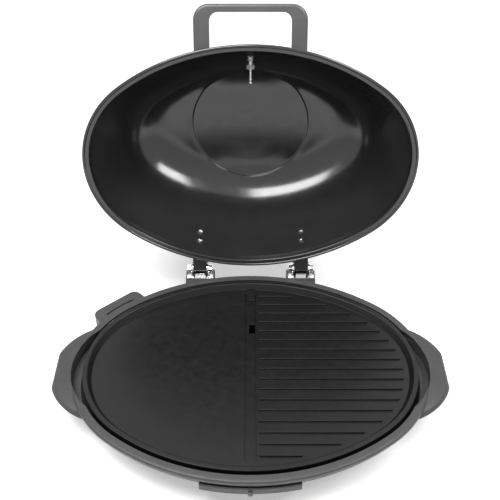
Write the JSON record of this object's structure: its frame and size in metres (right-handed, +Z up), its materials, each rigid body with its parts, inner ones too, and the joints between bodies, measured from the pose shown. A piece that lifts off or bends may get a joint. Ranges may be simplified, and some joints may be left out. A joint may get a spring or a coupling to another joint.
{
  "type": "electric indoor grill with hinged lid",
  "caption": "Oval electric countertop grill with a half-ribbed plate, pull-out drip tray, side grips and a deep domed lid that stands open on two rear hinges.",
  "frame": {"origin": "bottom centre of the bounding box with the lid open, on the table's surface", "axes": "+X to the right, +Y to the rear where the hinges are, +Z up; the tray's front faces -Y"},
  "size_m": [0.555, 0.544, 0.4836],
  "materials": {
    "housing": "fine-grained dark charcoal heat-resistant plastic, moulded",
    "cover": "fine-grained black plastic, moulded",
    "rubber": "black rubber",
    "screws": "zinc-plated steel",
    "reflector": "bright rolled aluminium sheet",
    "rails": "galvanised steel strip",
    "tray": "fine-grained dark charcoal plastic, moulded",
    "plate": "die-cast, with a dark satin non-stick coating",
    "element": "heat-darkened steel sheath",
    "terminals": "nickel-plated brass",
    "insulator": "unglazed white ceramic",
    "tube": "plain stainless tube",
    "bracket": "bright chrome plating on steel",
    "lid": "drawn sheet with a dark satin coating inside and out",
    "leaf": "die-cast, black coated",
    "handle": "satin mid-grey heat-resistant plastic",
    "gauge_metal": "satin stainless steel",
    "dial_face": "white enamel",
    "pointer": "red enamel",
    "lens": "clear flat glass",
    "spacer": "black heat-resistant plastic"
  },
  "bodies": {
    "base": {"base_housing": "housing", "left_grip_cover": "cover", "right_grip_cover": "cover", "grip_cover_screws": "screws", "inlet_guard": "housing", "guard_screws": "screws", "feet": "rubber", "foot_screws": "screws", "heat_reflector": "reflector", "reflector_screws": "screws", "tray_rails": "rails", "rail_screws": "screws", "grill_plate": "plate", "heating_element": "element", "element_clamps": "rails", "clamp_screws": "screws", "terminal_pins": "terminals", "pin_insulators": "insulator", "probe_tube": "tube", "left_base_hinge": "bracket", "right_base_hinge": "bracket", "base_hinge_screws": "bracket", "left_hinge_pin": "bracket", "right_hinge_pin": "bracket", "hinge_washers": "bracket", "hinge_cap_nuts": "bracket"},
    "lid": {"lid_shell": "lid", "left_lid_hinge": "leaf", "right_lid_hinge": "leaf", "lid_hinge_screws": "bracket", "lid_hinge_nuts": "bracket", "lid_handle": "handle", "lid_handle_screws": "bracket", "gauge_case": "gauge_metal", "gauge_dial": "dial_face", "gauge_lens": "lens", "gauge_stem": "gauge_metal", "gauge_spacer": "spacer", "gauge_wing_nut": "gauge_metal", "gauge_lock_nut": "bracket"},
    "tray": {"drip_tray": "tray"},
    "pointer": {"gauge_pointer": "pointer"}
  },
  "joints": [
    {"name": "lid_hinge", "type": "hinge", "parent": "base", "child": "lid", "pos_m": [0, 0.10581, 0.0853], "axis": [1, 0, 0], "range_deg": [0, 97.5]},
    {"name": "tray_slide", "type": "slide", "parent": "base", "child": "tray", "axis": [0, -1, 0], "range_m": [0, 0.24]},
    {"name": "pointer_turn", "type": "hinge", "parent": "lid", "child": "pointer", "pos_m": [0, 0.21715, 0.40089], "axis": [0, -0.5225, -0.8526], "range_deg": [0, 270], "stiffness_Nm_per_rad": 0.0002}
  ]
}
